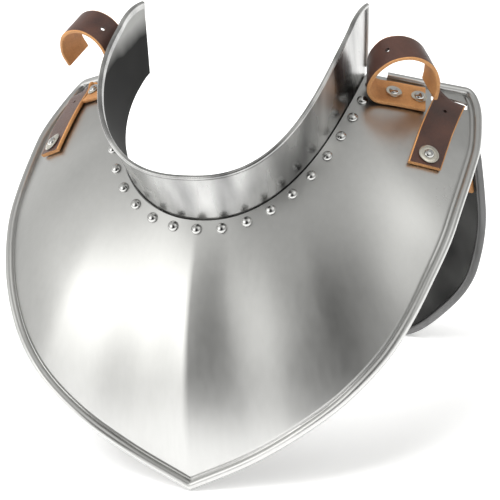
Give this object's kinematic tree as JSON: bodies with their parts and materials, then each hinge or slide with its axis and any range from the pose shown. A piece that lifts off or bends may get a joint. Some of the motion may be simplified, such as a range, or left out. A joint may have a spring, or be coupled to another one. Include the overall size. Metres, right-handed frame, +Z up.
{
  "type": "steel gorget",
  "caption": "Neck and upper chest armour: a ridged steel breast plate with rolled rims, a riveted half collar, a low back plate and leather shoulder and arm straps.",
  "frame": {"origin": "centre of the bounding box's base, on the floor", "axes": "+X to the wearer's left, +Y to the back, +Z up"},
  "size_m": [0.3032, 0.2284, 0.2413],
  "materials": {
    "front_steel": "satin, with a slightly uneven hammered surface",
    "collar_steel": "satin, brushed up and down",
    "back_steel": "satin outside, dull inside",
    "rivet_steel": "polished domes",
    "washer_steel": "pale satin",
    "strap_leather": "dark brown grain, tan cut edges and flesh side"
  },
  "bodies": {
    "root": {"front_plate": "front_steel", "collar": "collar_steel", "back_plate": "back_steel", "collar_rivet_01": "rivet_steel", "collar_rivet_02": "rivet_steel", "collar_rivet_03": "rivet_steel", "collar_rivet_04": "rivet_steel", "collar_rivet_05": "rivet_steel", "collar_rivet_06": "rivet_steel", "collar_rivet_07": "rivet_steel", "collar_rivet_08": "rivet_steel", "collar_rivet_09": "rivet_steel", "collar_rivet_10": "rivet_steel", "collar_rivet_11": "rivet_steel", "collar_rivet_12": "rivet_steel", "collar_rivet_13": "rivet_steel", "collar_rivet_14": "rivet_steel", "collar_rivet_15": "rivet_steel", "collar_rivet_16": "rivet_steel", "collar_rivet_17": "rivet_steel", "collar_rivet_18": "rivet_steel", "collar_rivet_19": "rivet_steel", "collar_rivet_20": "rivet_steel", "collar_rivet_21": "rivet_steel", "connecting_strap_left": "strap_leather", "arm_strap_left": "strap_leather", "connecting_strap_right": "strap_leather", "arm_strap_right": "strap_leather", "strap_washer_left": "washer_steel", "strap_rivet_left": "rivet_steel", "arm_strap_inner_washer_left": "washer_steel", "arm_strap_inner_rivet_left": "rivet_steel", "arm_strap_outer_washer_left": "washer_steel", "arm_strap_outer_rivet_left": "rivet_steel", "strap_back_washer_left": "washer_steel", "strap_back_rivet_left": "rivet_steel", "strap_washer_right": "washer_steel", "strap_rivet_right": "rivet_steel", "arm_strap_inner_washer_right": "washer_steel", "arm_strap_inner_rivet_right": "rivet_steel", "arm_strap_outer_washer_right": "washer_steel", "arm_strap_outer_rivet_right": "rivet_steel", "strap_back_washer_right": "washer_steel", "strap_back_rivet_right": "rivet_steel"}
  },
  "joints": []
}
